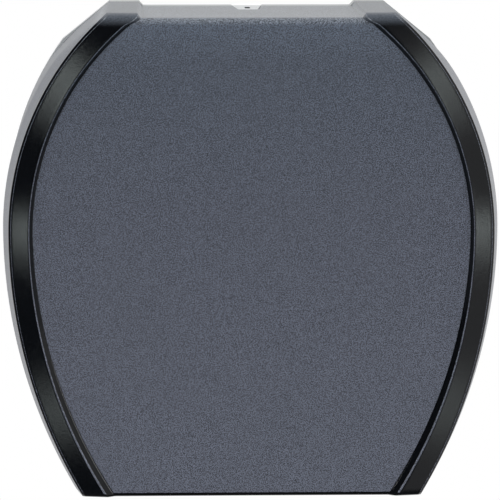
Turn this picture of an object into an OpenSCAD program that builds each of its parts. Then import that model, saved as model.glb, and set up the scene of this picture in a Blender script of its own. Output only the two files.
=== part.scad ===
// Jumbo toilet roll dispenser for one wide roll, hung on a wall.
// Millimetres. +Z is up, the wall is the plane y = 0 and the front faces -Y.
// The origin is the centre of the wall screw pattern, on the spindle's axis.
// A depth is a distance from the wall, so a depth d lies at y = -d.

/* [Paper roll] */
// Width of the paper roll along the spindle
roll_w = 92; // [84:1:94]

/* [Cover outline] */
// Depth from the wall to the ridge of the side bands
cover_depth = 130; // [127:1:136]
// Half of the cover's width at its widest line, at the front
half_w = 136.4; // [133:0.2:140]
// Height of the widest line above the spindle
widest_z = 14.2; // [12:0.1:16]
// Radius of the outline above the widest line
upper_r = 166; // [162:1:172]
// Radius of the outline below the widest line
lower_r = 294; // [284:0.5:304]
// Height of the raised shoulders above the widest line
upper_h = 123.9; // [122:0.1:126]
// Distance from the widest line down to the bottom
lower_h = 149.6; // [147:0.1:152]
// Angle of the cut across each top corner
corner_angle = 39; // [36:0.5:41]
// Distance of that cut from the centre of the widest line
corner_reach = 147.3; // [146:0.1:149.5]
// Moulded wall of the cover and of the back plate's rim
wall = 2.6; // [2:0.1:3]

/* [Cover front] */
// Width of the polished band beside the panel
band_w = 11.6; // [9:0.1:13]
// Drop of the band from its ridge to its outer edge
band_drop = 2.2; // [1.5:0.1:3]
// Width of the bevel round the outer edge of the band
edge_w = 1.3; // [0.8:0.1:1.8]
// Depth of the panel and of the top below the bands
step = 2.7; // [2:0.1:3.2]
// Width of the sloping step from the band to the panel
step_w = 2.5; // [1.5:0.1:3]
// How far the side wall flares out behind the band
flare = 4.2; // [3:0.1:5]
// Depth of that flare
flare_depth = 26; // [20:1:32]
// Further growth of the side wall from there to the wall
draft = 1.4; // [1:0.1:2]
// Half of the distance between the two raised shoulders
shoulder_x = 63.7; // [58:0.1:68]
// Bevel along the panel's top and bottom edges
panel_bevel = 2; // [1:0.1:2.4]
// Bevel along the front edge of each shoulder
shoulder_bevel = 2.6; // [1.5:0.1:3.4]

/* [Paper slot] */
// Half of the slot's width
slot_half_w = 75; // [68:1:80]
// Depth of the slot's rear edge
slot_rear = 36; // [32:1:44]
// Distance from the slot's front edge to the front of the cover
slot_front_gap = 22; // [20:1:28]
// Pitch of the teeth on the tear bars
tooth_pitch = 3; // [2.5:0.1:4]
// Height of a tooth
tooth_h = 2.2; // [1.5:0.1:2.6]
// Thickness of the stainless tear bars
bar_t = 0.8; // [0.6:0.1:1.2]
// Width of a tear bar without its teeth
bar_w = 9; // [8:0.5:11]

/* [Back plate] */
// Thickness of the back plate
plate_t = 3; // [2.5:0.1:3.5]
// Depth of the back plate's rim
rim_depth = 14; // [13:0.5:15]
// Height of the stiffening ribs above the plate
rib_h = 4; // [2:0.5:5]
// Thickness of the stiffening ribs
rib_t = 1.8; // [1.2:0.1:2.4]
// Distance between the wall screws, side to side
wall_screw_dx = 120; // [110:1:130]
// Distance between the wall screws, up and down
wall_screw_dz = 100; // [90:1:110]
// Radius of the ends of the wall screw slots
wall_slot_r = 2.75; // [2.25:0.05:3.25]
// Length of a wall screw slot from end to end
wall_slot_l = 12; // [9:0.5:14]
// Height of the raised pad round each wall slot
slot_pad_h = 1; // [0.6:0.1:2]
// Width of that pad round the slot
slot_pad_w = 4; // [3:0.5:6]

/* [Spindle and hub] */
// Radius of the spindle tube
spindle_r = 12; // [10:0.5:13]
// Radius of the spindle's flange
spindle_flange_r = 34; // [32:1:36]
// Thickness of the spindle's flange
spindle_flange_t = 3; // [2.5:0.1:4]
// Radius of the screw circle in the flange
spindle_screw_circle = 26; // [24:0.5:28]
// Outer radius of the hub that carries the core
hub_r = 38; // [36:0.5:39]
// Radius of the hub's rear flange
hub_flange_r = 58; // [52:1:62]
// Wall of the hub
hub_wall = 2.4; // [2:0.1:3]
// How far the roll's core stands out in front of the hub
core_overhang = 20; // [16:1:26]
// Height of the clip's bump above the hub
clip_bump = 4.5; // [3:0.5:5]

/* [Lock] */
// Half of the width of the cover's notch at the wall
notch_half_rear = 9.2; // [8.5:0.1:10]
// Half of the width of the notch at its front end
notch_half_front = 5.8; // [5:0.1:6.5]
// Depth of the notch's front end
notch_depth = 47; // [44:1:49]
// Width of the key slot
key_w = 3.1; // [2.5:0.1:3.6]
// Length of the key slot
key_l = 15; // [12:1:16]
// Half of the width of the lock housing
lock_half_w = 13; // [12.5:0.5:14]
// Height of the lock housing
lock_h = 14.4; // [14.2:0.1:14.8]

/* [Hinge] */
// Radius of the hinge pins
hinge_pin_r = 2; // [1.5:0.1:2.2]
// Radius of the hinge knuckles
knuckle_r = 5; // [4.5:0.1:5]
// Distance of the hinge axis from the wall
hinge_depth = 9; // [8:0.5:9]
// Distance from the centre to the middle of each hinge
hinge_x = 60; // [52:1:64]
// Width of the cover's hinge knuckle
lug_w = 9; // [7:0.5:11]
// Width of each ear on the back plate
ear_w = 4; // [3:0.5:5]

/* [Screws] */
// Radius of the thread of the small screws
screw_r = 1.5; // [1.25:0.05:1.75]
// Radius of their heads
screw_head_r = 3; // [2.6:0.1:3.4]

/* [Hidden] */

$fn = 96;
far = 200;
eps = 0.01;

// Clearances
seam = 0.3;
run_gap = 0.06;
pin_gap = 0.02;
side_gap = 0.4;
lid_gap = 0.6;

// Heights of the outline
top_z = widest_z + upper_h;
bottom_z = widest_z - lower_h;
crown_z = top_z - step;
upper_c = upper_r - half_w;
lower_c = lower_r - half_w;
rear_growth = flare + draft;

// Depths of the cover
panel_depth = cover_depth - step;
edge_depth = cover_depth - band_drop;
side_depth = edge_depth - edge_w;
cover_rear = rim_depth + seam;
slot_front = cover_depth - slot_front_gap;

// Hinge
hinge_z = bottom_z + knuckle_r;
lug_foot = 12;
hinge_pin_l = lug_w + 2 * ear_w + 2 * side_gap;

// Spindle and hub
pad_t = 3;
flange_rear = plate_t + pad_t;
washer_t = 2;
washer_rear = flange_rear + spindle_flange_t;
hub_rear = washer_rear + washer_t + side_gap / 2;
hub_flange_t = 2.4;
hub_edge = 0.8;
core_rear = hub_rear + hub_flange_t;
hub_l = roll_w - core_overhang;
hub_front = core_rear + hub_l;
sleeve_r = spindle_r + 4;
spindle_front = hub_front + 4;
thrust_t = 1.6;
cap_t = 3.5;
spindle_wall = 3.2;
screw_post_l = 20;
clip_w = 10;
web_t = 2.2;
web_root = 1;
clip_pivot_r = hub_r - 5;
clip_pivot_depth = core_rear + 8;
clip_pin_r = 1.5;
clip_tail = 4;
clip_skin = 0.6;
clip_ramp = 24;
clip_crest = 17;
clip_end = 9;
CLIP_ANGLES = [90, 210, 330];

// Lock
lock_top = crown_z - wall - lid_gap;
lock_bottom = lock_top - lock_h;
lock_wall = 2;
lock_floor = 1.2;
latch_drop = 7.6;
latch_z = lock_top - latch_drop;
latch_pin_room = 6;
latch_pin_depth = plate_t + latch_pin_room;
latch_pin_r = 1.5;
latch_half_w = 5.5;
arm_t = 3;
arm_drop = 6.4;
arm_top = lock_top - arm_drop;
arm_bottom = arm_top - arm_t;
arm_room = 5;
rib_lead = 6.5;
rib_front = notch_depth + rib_lead;
strike_half_w = 8;
strike_t = 3;
nose_l = 5;
nose_front = rib_front + side_gap + nose_l;
strike_bottom = lock_top - 5.6;
nose_top = lock_top - 1.2;
key_depth = 26;
lock_tab_z = lock_top - 7;
lock_tab_x = lock_half_w + 6;
lock_tab_w = 11;
lock_tab_h = 10;
lock_tab_t = 2.5;
lock_tab_in = 1.5;
boss_r = 4.2;

// ---- Shapes that several pieces share -------------------------------------------

// Stands a profile drawn in x and z on the wall, with its extrusion towards the front
module from_wall(depth = 0) {
    translate([0, -depth, 0])
        rotate([90, 0, 0])
            children();
}

// One drafted half of the barrel between two depths, on the side of the widest line
// that the box covers; growth widens the outline at each end
module barrel_half(d0, d1, g0, g1, r, c, box_z, box_h) {
    from_wall(d0)
        intersection() {
            translate([c, widest_z, 0])
                cylinder(h = d1 - d0, r1 = r + g0, r2 = r + g1, $fn = 256);
            translate([-c, widest_z, 0])
                cylinder(h = d1 - d0, r1 = r + g0, r2 = r + g1, $fn = 256);
            translate([-far, box_z, -1])
                cube([2 * far, box_h, d1 - d0 + 2]);
        }
}

// The barrel outline between two depths
module barrel(d0, d1, g0, g1) {
    barrel_half(d0, d1, g0, g1, upper_r, upper_c, widest_z, far);
    barrel_half(d0, d1, g0, g1, lower_r, lower_c, widest_z - far, far);
}

// Height of the corner cut at a distance x from the middle
function corner_z(x, inset) =
    widest_z + (corner_reach - inset - x * sin(corner_angle)) / cos(corner_angle);

// Distance from the middle at which the corner cut reaches a height
function corner_x(z, inset) =
    (corner_reach - inset - (z - widest_z) * cos(corner_angle)) / sin(corner_angle);

// Right half of the outline's top: cut corner, raised shoulder, lower crown
function top_right(inset) = [
    [far, bottom_z + inset],
    [far, corner_z(far, inset)],
    [corner_x(top_z - inset, inset), top_z - inset],
    [shoulder_x + inset / 2, top_z - inset],
    [shoulder_x + inset / 2 - step, crown_z - inset]
];

// The straight cuts round the barrel, drawn in x and z
module straight_cuts(inset) {
    right = top_right(inset);
    left = [for (i = [len(right) - 1 : -1 : 0]) [-right[i][0], right[i][1]]];
    polygon(concat(right, left));
}

// Outside of the cover or of the rim between two depths
module outer_form(d0, d1) {
    intersection() {
        union() {
            if (d1 > edge_depth)
                barrel(edge_depth, cover_depth, -edge_w, -band_w);
            if (d1 > side_depth)
                barrel(side_depth, edge_depth, 0, -edge_w);
            if (d1 > side_depth - flare_depth)
                barrel(side_depth - flare_depth, side_depth, flare, 0);
            barrel(0, side_depth - flare_depth, rear_growth, flare);
        }
        from_wall(d0)
            linear_extrude(d1 - d0)
                straight_cuts(0);
    }
}

// Room inside the cover or the rim between two depths, behind a skin
module inner_form(d0, d1, skin = wall) {
    intersection() {
        union() {
            barrel(side_depth - flare_depth, side_depth, flare - skin, -skin);
            barrel(-1, side_depth - flare_depth, rear_growth - skin, flare - skin);
        }
        from_wall(d0)
            linear_extrude(d1 - d0)
                straight_cuts(skin);
    }
}

// A pan head screw that points at the wall, with its head's seat at a depth
module wall_screw(x, z, seat, length, r = screw_r, head = screw_head_r) {
    translate([x, -seat, z])
        rotate([90, 0, 0]) {
            translate([0, 0, -length])
                cylinder(h = length + eps, r = r);
            difference() {
                cylinder(h = head * 0.7, r1 = head, r2 = head * 0.75);
                for (a = [0, 90])
                    rotate([0, 0, a])
                        translate([-head * 0.6, -0.35, head * 0.35])
                            cube([head * 1.2, 0.7, head]);
            }
        }
}

// A pan head screw that points down, with its head's seat at a height
module floor_screw(x, depth, seat, length, r = screw_r, head = screw_head_r) {
    translate([x, -depth, seat]) {
        translate([0, 0, -length])
            cylinder(h = length + eps, r = r);
        difference() {
            cylinder(h = head * 0.6, r1 = head, r2 = head * 0.75);
            for (a = [0, 90])
                rotate([0, 0, a])
                    translate([-head * 0.6, -0.35, head * 0.3])
                        cube([head * 1.2, 0.7, head]);
        }
    }
}

// ---- Back plate ------------------------------------------------------------------

RIB_ANGLES = [0, 25, 60, 120, 155, 180, 205, 240, 300, 335];
rib_ring_r = 66;

// A wall screw slot that runs side to side
module wall_slot(margin = 0) {
    hull_x = wall_slot_l / 2 - wall_slot_r;
    radius = wall_slot_r + margin;
    for (s = [-1, 1])
        translate([s * hull_x, 0])
            circle(r = radius);
    translate([-hull_x, -radius])
        square([2 * hull_x, 2 * radius]);
}

// Both hinge ears on one side, with a rounded front
module hinge_ears(side) {
    first = side * hinge_x - lug_w / 2 - side_gap - ear_w;
    second = side * hinge_x + lug_w / 2 + side_gap;
    for (x = [first, second]) {
        translate([x, -hinge_depth, hinge_z])
            rotate([0, 90, 0])
                cylinder(h = ear_w, r = knuckle_r);
        translate([x, -hinge_depth, hinge_z - knuckle_r])
            cube([ear_w, hinge_depth - plate_t + eps, 2 * knuckle_r]);
    }
}

module plate_ribs() {
    difference() {
        from_wall(plate_t - eps)
            difference() {
                cylinder(h = rib_h, r = rib_ring_r + rib_t / 2);
                translate([0, 0, -1])
                    cylinder(h = rib_h + 2, r = rib_ring_r - rib_t / 2);
            }
        translate([-lock_tab_x - boss_r, -rim_depth, lock_bottom - 2])
            cube([2 * (lock_tab_x + boss_r), rim_depth, far]);
    }
    intersection() {
        for (a = RIB_ANGLES)
            from_wall(plate_t - eps)
                rotate([0, 0, a])
                    translate([rib_ring_r, -rib_t / 2, 0])
                        cube([far, rib_t, rib_h]);
        inner_form(0, rim_depth, wall / 2);
        translate([-far, -far, bottom_z + 2 * knuckle_r + 6])
            cube([2 * far, 2 * far, 2 * far]);
    }
}

module back_plate() {
    color([0.62, 0.64, 0.66])
    difference() {
        union() {
            intersection() {
                barrel(0, plate_t, rear_growth, rear_growth);
                from_wall(0)
                    linear_extrude(plate_t)
                        straight_cuts(0);
            }
            difference() {
                outer_form(0, rim_depth);
                inner_form(-1, rim_depth + 1);
                translate([-far, -far, bottom_z - 1])
                    cube([2 * far, far - plate_t, 2 * knuckle_r + 4]);
            }
            plate_ribs();
            from_wall(plate_t - eps)
                cylinder(h = pad_t + eps, r = spindle_flange_r + 2);
            for (s = [-1, 1])
                hinge_ears(s);
            for (s = [-1, 1])
                from_wall(plate_t - eps)
                    translate([s * lock_tab_x, lock_tab_z, 0])
                        cylinder(h = pad_t + eps, r = boss_r);
            for (s = [-1, 1])
                from_wall(plate_t - eps)
                    translate([s * guide_screw_x, guide_screw_z, 0])
                        cylinder(h = pad_t + eps, r = boss_r);
            for (x = [-1, 1], z = [-1, 1])
                from_wall(plate_t - eps)
                    translate([x * wall_screw_dx / 2, z * wall_screw_dz / 2, 0])
                        linear_extrude(slot_pad_h + eps)
                            wall_slot(slot_pad_w);
        }
        for (x = [-1, 1], z = [-1, 1])
            from_wall(-1)
                translate([x * wall_screw_dx / 2, z * wall_screw_dz / 2, 0])
                    linear_extrude(plate_t + slot_pad_h + 2)
                        wall_slot();
        for (i = [0 : 2])
            from_wall(1)
                translate([spindle_screw_circle * cos(30 + 120 * i),
                           spindle_screw_circle * sin(30 + 120 * i), 0])
                    cylinder(h = flange_rear, r = screw_r + pin_gap);
        for (s = [-1, 1])
            from_wall(1)
                translate([s * lock_tab_x, lock_tab_z, 0])
                    cylinder(h = flange_rear, r = screw_r + pin_gap);
        for (s = [-1, 1])
            from_wall(1)
                translate([s * guide_screw_x, guide_screw_z, 0])
                    cylinder(h = flange_rear, r = screw_r + pin_gap);
        for (s = [-1, 1])
            translate([s * hinge_x - hinge_pin_l / 2 - 1, -hinge_depth, hinge_z])
                rotate([0, 90, 0])
                    cylinder(h = hinge_pin_l + 2, r = hinge_pin_r + pin_gap);
        from_wall(-1)
            lock_notch(rim_depth + 2, crown_z - wall - 1);
    }
}

// Plan of the lock notch drawn as a block from one height up; wider at the wall
module lock_notch(depth, from_z, inset = 0) {
    half_at_end = notch_half_rear
        - (notch_half_rear - notch_half_front) * (depth - 1) / notch_depth - inset;
    translate([0, from_z, 0])
        rotate([-90, 0, 0])
            linear_extrude(far)
                polygon([
                    [-notch_half_rear + inset, 0],
                    [notch_half_rear - inset, 0],
                    [half_at_end, -depth],
                    [-half_at_end, -depth]
                ]);
}

// ---- Spindle ---------------------------------------------------------------------

module spindle() {
    color([0.2, 0.21, 0.22])
    difference() {
        union() {
            from_wall(flange_rear)
                cylinder(h = spindle_flange_t, r = spindle_flange_r);
            from_wall(flange_rear)
                cylinder(h = spindle_front - flange_rear, r = spindle_r);
        }
        for (i = [0 : 2])
            from_wall(flange_rear - 1)
                translate([spindle_screw_circle * cos(30 + 120 * i),
                           spindle_screw_circle * sin(30 + 120 * i), 0])
                    cylinder(h = spindle_flange_t + 2, r = screw_r + 0.2);
        from_wall(flange_rear - 1)
            cylinder(h = spindle_front - flange_rear - screw_post_l + 3, r = spindle_r - spindle_wall);
        from_wall(spindle_front - screw_post_l)
            cylinder(h = screw_post_l + 1, r = 2 + pin_gap);
    }
}

module spindle_screws() {
    color([0.75, 0.75, 0.77])
    for (i = [0 : 2])
        wall_screw(spindle_screw_circle * cos(30 + 120 * i),
                   spindle_screw_circle * sin(30 + 120 * i),
                   flange_rear + spindle_flange_t, flange_rear, screw_r, screw_head_r * 0.66);
}

module brake_washer() {
    color([0.1, 0.1, 0.1])
    from_wall(washer_rear)
        difference() {
            cylinder(h = washer_t, r = spindle_screw_circle - screw_head_r - 1);
            translate([0, 0, -1])
                cylinder(h = washer_t + 2, r = spindle_r + run_gap);
        }
}

module thrust_washer() {
    color([0.92, 0.92, 0.9])
    from_wall(spindle_front - thrust_t - side_gap)
        difference() {
            cylinder(h = thrust_t, r = sleeve_r + 1);
            translate([0, 0, -1])
                cylinder(h = thrust_t + 2, r = spindle_r + run_gap);
        }
}

module spindle_cap() {
    color([0.2, 0.21, 0.22])
    from_wall(spindle_front)
        difference() {
            union() {
                cylinder(h = cap_t - 1.2, r = sleeve_r + 2);
                translate([0, 0, cap_t - 1.2])
                    cylinder(h = 1.2, r1 = sleeve_r + 2, r2 = sleeve_r + 0.8);
            }
            translate([0, 0, -1])
                cylinder(h = cap_t + 2, r = 2.2);
            translate([0, 0, cap_t - 2])
                cylinder(h = 3, r = 5);
        }
}

module spindle_cap_screw() {
    color([0.75, 0.75, 0.77])
    wall_screw(0, 0, spindle_front + cap_t - 2, 18, 2, 4);
}

// ---- Hub -------------------------------------------------------------------------

// The barrel's section: a ring open at each clip, with two webs beside every opening
module barrel_outline() {
    difference() {
        union() {
            difference() {
                circle(r = hub_r);
                circle(r = hub_r - hub_wall);
            }
            for (a = CLIP_ANGLES)
                rotate(a)
                    translate([spindle_r + 2, -clip_w / 2 - side_gap - web_t])
                        square([hub_r - hub_wall / 2 - spindle_r - 2, clip_w + 2 * side_gap + 2 * web_t]);
        }
        for (a = CLIP_ANGLES)
            rotate(a)
                translate([0, -clip_w / 2 - side_gap])
                    square([far, clip_w + 2 * side_gap]);
    }
    circle(r = sleeve_r);
}

module roll_hub() {
    color([0.16, 0.17, 0.18])
    from_wall(hub_rear)
        difference() {
            union() {
                cylinder(h = hub_flange_t - hub_edge, r = hub_flange_r);
                translate([0, 0, hub_flange_t - hub_edge])
                    cylinder(h = hub_edge, r1 = hub_flange_r, r2 = hub_flange_r - hub_edge);
                translate([0, 0, hub_flange_t - web_root])
                    linear_extrude(hub_front - hub_rear - hub_flange_t + web_root)
                        barrel_outline();
            }
            translate([0, 0, -1])
                cylinder(h = hub_front, r = spindle_r + run_gap);
            for (a = CLIP_ANGLES)
                rotate([0, 0, a])
                    translate([clip_pivot_r, clip_w, clip_pivot_depth - hub_rear])
                        rotate([90, 0, 0])
                            cylinder(h = 2 * clip_w, r = clip_pin_r + run_gap);
        }
}

module hub_face() {
    color([0.16, 0.17, 0.18])
    from_wall(hub_front)
        difference() {
            union() {
                cylinder(h = 1, r = hub_r - hub_wall - side_gap);
                translate([0, 0, 1])
                    cylinder(h = 1, r1 = hub_r - hub_wall - side_gap, r2 = hub_r - hub_wall - 1.4);
            }
            translate([0, 0, -1])
                cylinder(h = 4, r = sleeve_r + 3);
            for (a = CLIP_ANGLES)
                rotate([0, 0, a])
                    translate([clip_pivot_r - 9, -clip_w / 2 - side_gap, -1])
                        cube([far, clip_w + 2 * side_gap, 4]);
        }
}

// One core clip, pointing along +X, with its trunnions and its bump at the front
module core_clip(angle) {
    color([0.85, 0.86, 0.86])
    from_wall(clip_pivot_depth)
        rotate([0, 0, angle]) {
            translate([0, clip_w / 2, 0])
                rotate([90, 0, 0])
                    linear_extrude(clip_w)
                        polygon([
                            [clip_pivot_r - hub_wall, -clip_tail],
                            [hub_r - clip_skin, -clip_tail],
                            [hub_r - clip_skin, hub_l - clip_ramp],
                            [hub_r + clip_bump, hub_l - clip_crest],
                            [hub_r - clip_skin, hub_l - clip_end],
                            [clip_pivot_r - clip_skin, hub_l - clip_end],
                            [clip_pivot_r + 1, clip_tail + 2]
                        ]);
            translate([clip_pivot_r, clip_w / 2 + web_t + side_gap, 0])
                rotate([90, 0, 0])
                    cylinder(h = clip_w + 2 * web_t + 2 * side_gap, r = clip_pin_r);
        }
}

module core_clip_top() {
    core_clip(CLIP_ANGLES[0]);
}

module core_clip_left() {
    core_clip(CLIP_ANGLES[1]);
}

module core_clip_right() {
    core_clip(CLIP_ANGLES[2]);
}

// ---- Lock ------------------------------------------------------------------------

module lock_housing() {
    color([0.86, 0.88, 0.88])
    difference() {
        union() {
            translate([-lock_half_w, -notch_depth + 1, lock_bottom])
                cube([2 * lock_half_w, notch_depth - 1 - plate_t, lock_h]);
            intersection() {
                from_wall(0)
                    lock_notch(notch_depth + 1, lock_top - 1, side_gap);
                translate([-far, -notch_depth + side_gap, lock_top - 1])
                    cube([2 * far, notch_depth - side_gap - plate_t, crown_z - seam - lock_top + 1]);
            }
            for (s = [-1, 1])
                from_wall(flange_rear)
                    translate([s * (lock_tab_x - lock_tab_in) - lock_tab_w / 2, lock_tab_z - lock_tab_h / 2, 0])
                        cube([lock_tab_w, lock_tab_h, lock_tab_t]);
        }
        // Room for the latch, open to the front
        translate([-lock_half_w + lock_wall, -notch_depth - 1, lock_bottom + lock_floor])
            cube([2 * (lock_half_w - lock_wall), notch_depth - plate_t - 1, lock_h - lock_floor - lock_wall]);
        // Gap in the floor for the lever's arm at full travel
        translate([-latch_half_w - side_gap, -notch_depth - 1, lock_bottom - 1])
            cube([2 * (latch_half_w + side_gap), notch_depth - key_depth - arm_room, lock_floor + 2]);
        // Key slot through the cap
        translate([-key_w / 2, -key_depth - key_l / 2, lock_top - lock_wall - 1])
            cube([key_w, key_l, far]);
        translate([-far / 2, -latch_pin_depth, latch_z])
            rotate([0, 90, 0])
                cylinder(h = far, r = latch_pin_r + pin_gap);
        for (s = [-1, 1])
            from_wall(flange_rear - 1)
                translate([s * lock_tab_x, lock_tab_z, 0])
                    cylinder(h = lock_tab_t + 2, r = screw_r + 0.2);
    }
}

module lock_screws() {
    color([0.75, 0.75, 0.77])
    for (s = [-1, 1])
        wall_screw(s * lock_tab_x, lock_tab_z, flange_rear + lock_tab_t, flange_rear + 1);
}

// The latch is a lever on a pin near the wall; a key pushes its pad down and
// drops its nose below the cover's strike rib
module latch() {
    color([0.8, 0.2, 0.15])
    difference() {
        union() {
            translate([-lock_half_w + lock_wall + side_gap, -latch_pin_depth, latch_z])
                rotate([0, 90, 0])
                    cylinder(h = 2 * (lock_half_w - lock_wall - side_gap), r = 3);
            translate([latch_half_w, 0, 0])
                rotate([90, 0, -90])
                    linear_extrude(2 * latch_half_w)
                        polygon([
                            [latch_pin_depth, arm_bottom],
                            [nose_front, arm_bottom],
                            [nose_front, nose_top - 2.5],
                            [nose_front - nose_l + 1.6, nose_top],
                            [nose_front - nose_l, nose_top],
                            [nose_front - nose_l, arm_top],
                            [key_depth + key_l / 2 + 2, arm_top],
                            [key_depth + key_l / 2, lock_top - lock_wall - side_gap],
                            [key_depth - key_l / 2, lock_top - lock_wall - side_gap],
                            [key_depth - key_l / 2 - 2, arm_top],
                            [latch_pin_depth, arm_top]
                        ]);
        }
        translate([-far / 2, -latch_pin_depth, latch_z])
            rotate([0, 90, 0])
                cylinder(h = far, r = latch_pin_r + run_gap);
    }
}

module latch_pin() {
    color([0.75, 0.75, 0.77])
    translate([-lock_half_w, -latch_pin_depth, latch_z])
        rotate([0, 90, 0])
            cylinder(h = 2 * lock_half_w, r = latch_pin_r);
}

spring_r = 3;
spring_wire = 0.3;
spring_turns = 3;
spring_z0 = lock_bottom + lock_floor + spring_wire + 0.05;
spring_z1 = arm_bottom - spring_wire - 0.05;

// A coil spring as a tube of eight sides swept along its helix
module coil(r, wire, turns, z0, z1) {
    sides = 8;
    steps = turns * 20;
    ring = function (i) [for (k = [0 : sides - 1])
        let (a = 360 * turns * i / steps, b = 360 * k / sides, rr = r + wire * cos(b))
            [rr * cos(a), rr * sin(a), z0 + (z1 - z0) * i / steps + wire * sin(b)]];
    points = [for (i = [0 : steps]) each ring(i)];
    walls = [for (i = [0 : steps - 1], k = [0 : sides - 1])
        let (n = (k + 1) % sides)
            [i * sides + k, i * sides + n, (i + 1) * sides + n, (i + 1) * sides + k]];
    first = [[for (k = [sides - 1 : -1 : 0]) k]];
    last = [[for (k = [0 : sides - 1]) steps * sides + k]];
    polyhedron(points, concat(walls, first, last), convexity = 6);
}

module latch_spring() {
    color([0.75, 0.75, 0.77])
    translate([0, -key_depth, 0])
        coil(spring_r, spring_wire, spring_turns, spring_z0, spring_z1);
}

// ---- Cover -----------------------------------------------------------------------

// The recess that leaves the two bands standing proud of the panel
module panel_recess() {
    barrel(panel_depth, cover_depth + eps, -band_w - step_w, -band_w);
}

// Slanted front edge of both shoulders
module shoulder_bevels() {
    translate([-far, -cover_depth, top_z])
        rotate([45, 0, 0])
            translate([0, -shoulder_bevel, -shoulder_bevel])
                cube([2 * far, 2 * shoulder_bevel, 2 * shoulder_bevel]);
}

// Long bevels across the panel's top and bottom edges
module panel_edge_bevels() {
    translate([-shoulder_x + step, -panel_depth, crown_z])
        rotate([45, 0, 0])
            translate([0, -panel_bevel, -panel_bevel])
                cube([2 * (shoulder_x - step), 2 * panel_bevel, 2 * panel_bevel]);
    translate([-far, -panel_depth, bottom_z])
        rotate([45, 0, 0])
            translate([0, -panel_bevel, -panel_bevel])
                cube([2 * far, 2 * panel_bevel, 2 * panel_bevel]);
}

// The knuckle that carries the cover on one hinge pin
module cover_lug(side) {
    translate([side * hinge_x - lug_w / 2, -hinge_depth, hinge_z])
        rotate([0, 90, 0])
            cylinder(h = lug_w, r = knuckle_r);
    translate([side * hinge_x - lug_w / 2, -cover_rear - lug_foot, bottom_z])
        cube([lug_w, cover_rear + lug_foot - hinge_depth, wall + 2]);
}

module front_cover() {
    color([0.3, 0.32, 0.36, 1])
    difference() {
        union() {
            difference() {
                outer_form(cover_rear, cover_depth);
                inner_form(cover_rear - 1, panel_depth - wall);
                panel_recess();
                shoulder_bevels();
                intersection() {
                    panel_edge_bevels();
                    barrel(panel_depth - 5, cover_depth, -band_w - step_w, -band_w - step_w);
                }
            }
            for (s = [-1, 1])
                cover_lug(s);
            // Strike rib that the latch's nose holds
            translate([-strike_half_w, -rib_front, strike_bottom])
                cube([2 * strike_half_w, strike_t, crown_z - wall - strike_bottom + eps]);
            // Seats of the tear bars along the slot
            for (d = [slot_rear - bar_w, slot_front])
                translate([-slot_half_w - 2, -d - bar_w, bottom_z + wall - eps])
                    cube([2 * slot_half_w + 4, bar_w, bar_seat_h + eps]);
        }
        // Paper slot
        translate([-slot_half_w, -slot_front, bottom_z - 1])
            cube([2 * slot_half_w, slot_front - slot_rear, 2 * wall + 2]);
        // Hinge bores
        for (s = [-1, 1])
            translate([s * hinge_x - lug_w, -hinge_depth, hinge_z])
                rotate([0, 90, 0])
                    cylinder(h = 2 * lug_w, r = hinge_pin_r + run_gap);
        // Notch for the lock's cap
        from_wall(-1)
            lock_notch(notch_depth + 1, crown_z - wall - 1);
        // Pilot holes for the tear bars' screws
        for (x = BAR_SCREW_X, d = [slot_rear - bar_w / 2, slot_front + bar_w / 2])
            translate([x, -d, bottom_z + 0.8])
                cylinder(h = 2 * wall, r = screw_r + pin_gap);
    }
}

module hinge_pin(side) {
    color([0.75, 0.75, 0.77])
    translate([side * hinge_x - hinge_pin_l / 2, -hinge_depth, hinge_z])
        rotate([0, 90, 0])
            cylinder(h = hinge_pin_l, r = hinge_pin_r);
}

module hinge_pin_left() {
    hinge_pin(-1);
}

module hinge_pin_right() {
    hinge_pin(1);
}

// ---- Tear bars -------------------------------------------------------------------

bar_seat_h = 2.4;
bar_z = bottom_z + wall + bar_seat_h;
bar_half_w = slot_half_w - 1;
BAR_SCREW_X = [-60, 0, 60];
bar_overhang = 3;

// A straight strip with a row of teeth along one edge
module tear_bar_plan() {
    n = floor(2 * bar_half_w / tooth_pitch);
    start = -n * tooth_pitch / 2;
    polygon(concat(
        [[-bar_half_w, 0]],
        [for (i = [0 : n - 1]) each [
            [start + i * tooth_pitch, bar_w],
            [start + (i + 0.5) * tooth_pitch, bar_w + tooth_h]
        ]],
        [[start + n * tooth_pitch, bar_w], [bar_half_w, bar_w], [bar_half_w, 0]]
    ));
}

module tear_bar(sense, edge) {
    color([0.8, 0.81, 0.82])
    difference() {
        translate([0, -edge - sense * (bar_w - bar_overhang), bar_z])
            mirror([0, sense < 0 ? 1 : 0, 0])
                linear_extrude(bar_t)
                    tear_bar_plan();
        for (x = BAR_SCREW_X)
            translate([x, -edge - sense * bar_w / 2, bar_z - 1])
                cylinder(h = bar_t + 2, r = screw_r + 0.2);
    }
}

module front_tear_bar() {
    tear_bar(1, slot_front);
}

module rear_tear_bar() {
    tear_bar(-1, slot_rear);
}

module tear_bar_screws() {
    color([0.75, 0.75, 0.77])
    for (x = BAR_SCREW_X, d = [slot_rear - bar_w / 2, slot_front + bar_w / 2])
        floor_screw(x, d, bar_z + bar_t, bar_t + bar_seat_h + 1);
}

// ---- Paper guide -----------------------------------------------------------------

guide_screw_x = 40;
guide_rise = 34;
guide_screw_z = bottom_z + guide_rise;
guide_half_w = 55;
guide_t = 1.6;
guide_leaf = 12;
guide_r = 16;

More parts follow.
